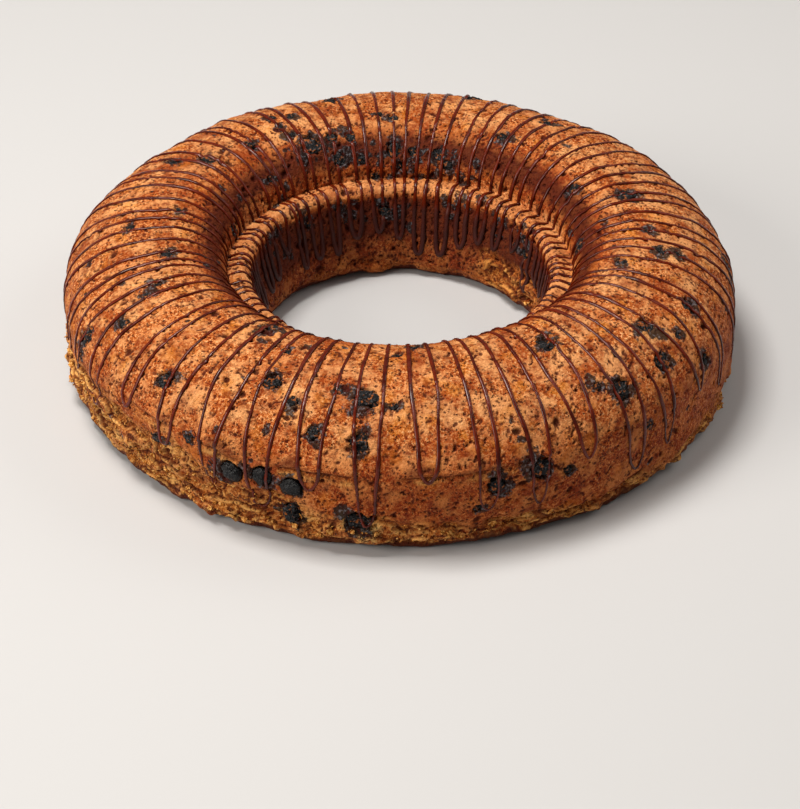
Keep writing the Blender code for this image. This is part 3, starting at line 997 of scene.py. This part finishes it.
def crumbGrainGroup():
    # fine open crumb: a grain value, dark pores and a height
    group, net, start, end = newGroup(
        "crumbGrain", {"Scale": 900.0, "Pores": 0.5}, ("Grain", "Pore", "Height"))
    warp = net.add("ShaderNodeTexNoise", {"Vector": net.coords, "Scale": 1.4}).outputs["Color"]
    warped = net.add("ShaderNodeVectorMath", {0: net.coords, 1: warp}, operation="ADD").outputs["Vector"]
    cells = net.add("ShaderNodeTexVoronoi", {"Vector": warped, "Scale": 0.8}).outputs["Distance"]
    coarse, fine = net.times(net.noise(1.0, 4.0, 0.62), 0.65), net.times(net.noise(2.7, 2.0, 0.5), 0.35)
    grain = net.calc("ADD", coarse, fine)
    pore = net.times(net.grey(cells, 0.15, 0.40, 1.0, 0.0), net.grey(net.noise(0.33, 2.0), 0.40, 0.58))
    pore = net.times(pore, start["Pores"])
    net.feed(grain, end["Grain"])
    net.feed(pore, end["Pore"])
    net.feed(net.calc("SUBTRACT", grain, net.times(pore, 0.8)), end["Height"])
    return group


def sheenPatchGroup():
    # uneven damp shine for chocolate and fruit: a roughness, a faint bloom that is partly a painted glint,
    # and a height
    group, net, start, end = newGroup(
        "sheenPatch", {"Scale": 300.0, "Low": 0.2, "High": 0.5}, ("Roughness", "BloomAndGlint", "Height"))
    net.feed(net.grey(net.noise(1.0), 0.35, 0.65, start["Low"], start["High"]), end["Roughness"])
    net.feed(net.grey(net.noise(2.3, 4.0, 0.65), 0.53, 0.64), end["BloomAndGlint"])
    net.feed(net.noise(3.1), end["Height"])
    return group


def newMaterial(name):
    material = bpy.data.materials.new(name)
    material.use_nodes = True
    net = Wiring(material.node_tree)
    net.coords = net.add("ShaderNodeTexCoord").outputs["Object"]
    return material, net, material.node_tree.nodes["Principled BSDF"]


crustLook = {
    "dark": (0.110, 0.011, 0.001),
    "brown": (0.290, 0.044, 0.003),
    "orange": (0.560, 0.146, 0.019),
    "light": (0.900, 0.480, 0.215),
    "golden": (0.800, 0.285, 0.018),
    "pink": (0.800, 0.325, 0.112),
    "tan": (0.880, 0.445, 0.175),
    "red": (0.200, 0.025, 0.002),
    # tint, how many to a metre, from and to which noise value, and how much of it
    "patches": (
        ("brown", 60.0, 0.45, 0.64, 0.72), ("pink", 170.0, 0.46, 0.62, 0.48),
        ("tan", 85.0, 0.48, 0.62, 0.50), ("golden", 130.0, 0.54, 0.68, 0.45),
        ("red", 105.0, 0.53, 0.68, 0.60), ("red", 260.0, 0.55, 0.66, 0.78),
    ),
    "torn": ((0.130, 0.022, 0.001), (0.520, 0.175, 0.020), (0.940, 0.530, 0.165)),  # from dark to light; the dark also paints shade in hollows and the light paints highlights on flake edges
    "pale": (0.560, 0.470, 0.190),
    # dark of pits and pores, also used as painted shade in crevices, under the fold's step and under the foot
    "pitAndShade": (0.066, 0.006, 0.001),
    "stain": (0.006, 0.004, 0.004),
    "bloomAndGlint": (0.110, 0.112, 0.126),
    # colour of browning together with painted shade, laid on by the baked mask
    "baked": (0.085, 0.010, 0.001),
    "bakedAndShadeTint": (1.0, 0.74, 0.50),
}


def crustMaterial(grain):
    look = crustLook
    material, net, shader = newMaterial("bakedCrust")
    crumb = net.place(grain, Scale=1000.0, Pores=0.9)
    colour = net.ramp(crumb["Grain"], (0.385, look["dark"]), (0.450, look["brown"]),
                      (0.520, look["orange"]), (0.615, look["light"]))
    for tint, scale, low, high, share in look["patches"]:
        patch = net.grey(net.noise(scale, 5.0, 0.62), low, high)
        colour = net.mix(net.times(patch, share), colour, look[tint])
    # torn crumb, with random dark hollows as painted shade and a painted highlight on the flake edges
    torn = net.ramp(crumb["Grain"], *zip((0.40, 0.50, 0.64), look["torn"]))
    torn = net.mix(net.grey(net.noise(150.0, 4.0, 0.6), 0.47, 0.60, 0.0, 0.80), torn, look["torn"][0])
    torn = net.mix(net.grey(net.mask("ridgeHighlight"), 0.05, 0.70, 0.0, 0.95), torn, look["torn"][2])
    patchy = net.grey(net.noise(90.0, 5.0, 0.65), 0.40, 0.56, 0.35, 0.95)
    colour = net.mix(net.times(net.mask("torn"), patchy), colour, torn)
    broken = net.grey(net.noise(520.0, 4.0, 0.6), 0.42, 0.55, 0.1, 0.85)
    pale = net.mix(0.65, torn, look["pale"])
    colour = net.mix(net.times(net.mask("pale"), broken), colour, pale)
    # thin dark veins, broken up
    vein = net.calc("ABSOLUTE", net.calc("SUBTRACT", net.noise(120.0), 0.5), 0.0)
    vein = net.times(net.grey(vein, 0.003, 0.010, 1.0, 0.0), net.grey(net.noise(210.0, 2.0), 0.52, 0.60))
    colour = net.mix(net.times(vein, 0.75), colour, look["pitAndShade"])
    colour = net.mix(net.times(net.mask("ledge"), 0.50), colour, look["pink"])
    # browning and painted shade: tint and darken by the baked mask
    colour = net.mix(net.grey(net.mask("baked"), 0.0, 0.32), colour, look["bakedAndShadeTint"], "MULTIPLY")
    colour = net.mix(net.times(net.mask("baked"), 0.95), colour, look["baked"])
    # dark fruit showing through, with a broken edge and a grey-blue bloom that is partly a painted glint
    stain = net.calc("ADD", net.mask("stain"), net.times(net.noise(430.0, 5.0, 0.68), 2.2))
    stain = net.times(net.grey(stain, 1.62, 1.86), 0.92)
    bloomAndGlint = net.grey(net.noise(820.0, 3.0, 0.6), 0.52, 0.62)
    colour = net.mix(stain, colour, net.mix(bloomAndGlint, look["stain"], look["bloomAndGlint"]))
    colour = net.mix(crumb["Pore"], colour, look["pitAndShade"])
    # pits and pores, with painted shade in crevices, under the fold's step and under the foot
    colour = net.mix(net.times(net.grey(net.mask("pitAndShade"), 0.14, 0.62), 0.9), colour, look["pitAndShade"])
    shader.inputs["Specular IOR Level"].default_value = 0.14
    rough = net.grey(crumb["Grain"], 0.35, 0.65, 0.78, 0.52)
    net.dress(shader, colour, rough, crumb["Height"], 1.0, 0.0009)
    return material


def crumbMaterial(grain):
    material, net, shader = newMaterial("looseCrumb")
    crumb = net.place(grain, Scale=1300.0, Pores=0.4)
    tone = net.ramp(crumb["Grain"], *zip((0.40, 0.48, 0.58), crustLook["torn"]))
    colour = net.mix(crumb["Pore"], tone, crustLook["pitAndShade"])
    shader.inputs["Specular IOR Level"].default_value = 0.12
    rough = net.grey(crumb["Grain"], 0.3, 0.7, 0.85, 0.65)
    net.dress(shader, colour, rough, crumb["Height"], 0.6, 0.0004)
    return material


fruitLook = {
    "skin": ((0.0012, 0.0012, 0.0016), (0.0032, 0.0032, 0.004), (0.012, 0.013, 0.014)),  # dark to light
    "bloomAndGlint": (0.105, 0.110, 0.120),
}


def fruitMaterial(sheen):
    material, net, shader = newMaterial("bakedFruit")
    patch = net.place(sheen, Scale=520.0, Low=0.10, High=0.28)
    baked = net.calc("SUBTRACT", 1.0, net.mask("whole"))
    # bloom, partly a painted glint, stronger on the baked-in pieces than on the whole ones
    bloomAndGlint = net.times(patch["BloomAndGlint"], net.grey(baked, 0.0, 1.0, 0.10, 0.72))
    skin = net.ramp(net.noise(260.0, 4.0), *zip((0.40, 0.56, 0.70), fruitLook["skin"]))
    colour = net.mix(bloomAndGlint, skin, fruitLook["bloomAndGlint"])
    stuck = net.grey(net.noise(600.0, 3.0, 0.6), 0.57, 0.64)  # crumb stuck to it
    colour = net.mix(net.times(net.times(stuck, 0.6), baked), colour, crustLook["orange"])
    shader.inputs["Specular IOR Level"].default_value = 0.20
    rough = net.calc("ADD", patch["Roughness"], net.times(baked, 0.32))
    height = net.times(patch["Height"], net.grey(baked, 0.0, 1.0, 0.45, 1.0))
    net.dress(shader, colour, rough, height, 1.0, 0.0010)
    return material


chocolateLook = {
    "dark": (0.046, 0.003, 0.0005),
    "brown": (0.115, 0.010, 0.001),
    "bloomAndGlint": (0.18, 0.04, 0.02),
    "deep": (0.030, 0.0025, 0.0005),  # painted shade for the thread down the hole, where it also pools
}


def chocolateMaterial(sheen):
    look = chocolateLook
    material, net, shader = newMaterial("setChocolate")
    patch = net.place(sheen, Scale=240.0, Low=0.16, High=0.34)
    deep = net.mask("deep")
    tone = net.ramp(net.noise(150.0), (0.38, look["dark"]), (0.60, look["brown"]))
    colour = net.mix(net.times(patch["BloomAndGlint"], 0.08), tone, look["bloomAndGlint"])
    # painted shade on the thread down the hole
    colour = net.mix(net.times(deep, 0.80), colour, look["deep"])
    shader.inputs["Specular IOR Level"].default_value = 0.27
    rough = net.calc("ADD", patch["Roughness"], net.times(deep, 0.30))
    net.dress(shader, colour, rough, patch["Height"], 0.25, 0.0003)
    return material


grain, sheen = crumbGrainGroup(), sheenPatchGroup()
for pieces, slot, material in (
    (crustPieces, "crust", crustMaterial(grain)), ([crumbs], "crust", crumbMaterial(grain)),
    ([berries, fruitBits], "fruit", fruitMaterial(sheen)),
    ([drizzlePiece], "chocolate", chocolateMaterial(sheen)),
):
    for piece in pieces:
        piece.data.materials.append(material)
        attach(piece, "root")
for piece in crustPieces:
    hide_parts("cake")
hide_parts(*[place["name"] for place in places if place["name"]])
print("materials done")


# floor, light and camera

studio = {
    "floorColour": (0.545, 0.550, 0.565),
    "world": (1.0, 0.95, 0.89),
    "worldStrength": 0.19,
    # place, size, power and colour of each soft light
    "lights": (
        ("keyLight", (-0.34, 0.06, 1.24), 0.48, 17.0, (1.0, 0.95, 0.88)),
        ("fillLight", (-1.55, -0.85, 1.0), 0.9, 24.0, (1.0, 0.93, 0.84)),
        ("sideLight", (1.0, 0.35, 0.9), 0.8, 4.5, (1.0, 0.93, 0.85)),
    ),
    "camera": (0.00042, -0.77956, 0.53463),
    "tilt": 0.62535,  # below level, in radians
    "lens": 106.8,
}


def makeStudio():
    scene = bpy.context.scene
    bpy.ops.mesh.primitive_plane_add(size=8)
    floor = bpy.context.object
    floor.name = "floor"
    material, _, shader = newMaterial("paleFloor")
    shader.inputs["Base Color"].default_value = (*studio["floorColour"], 1)
    shader.inputs["Roughness"].default_value = 0.6
    floor.data.materials.append(material)
    world = scene.world = scene.world or bpy.data.worlds.new("studio")
    world.use_nodes = True
    background = world.node_tree.nodes["Background"]
    background.inputs["Color"].default_value = (*studio["world"], 1)
    background.inputs["Strength"].default_value = studio["worldStrength"]
    for name, place, size, power, colour in studio["lights"]:
        bpy.ops.object.light_add(type="AREA", location=place)
        light = bpy.context.object
        light.name = name
        light.data.size, light.data.energy, light.data.color = size, power, colour
        light.rotation_euler = (Vector((0, 0, 0.02)) - Vector(place)).to_track_quat("-Z", "Y").to_euler()
    scene.view_settings.view_transform = "Standard"
    bpy.ops.object.camera_add(location=studio["camera"], rotation=(math.pi / 2 - studio["tilt"], 0, 0))
    scene.camera = bpy.context.object
    scene.camera.data.lens = studio["lens"]
    scene.camera.data.sensor_width = 36


makeStudio()
print("studio done")
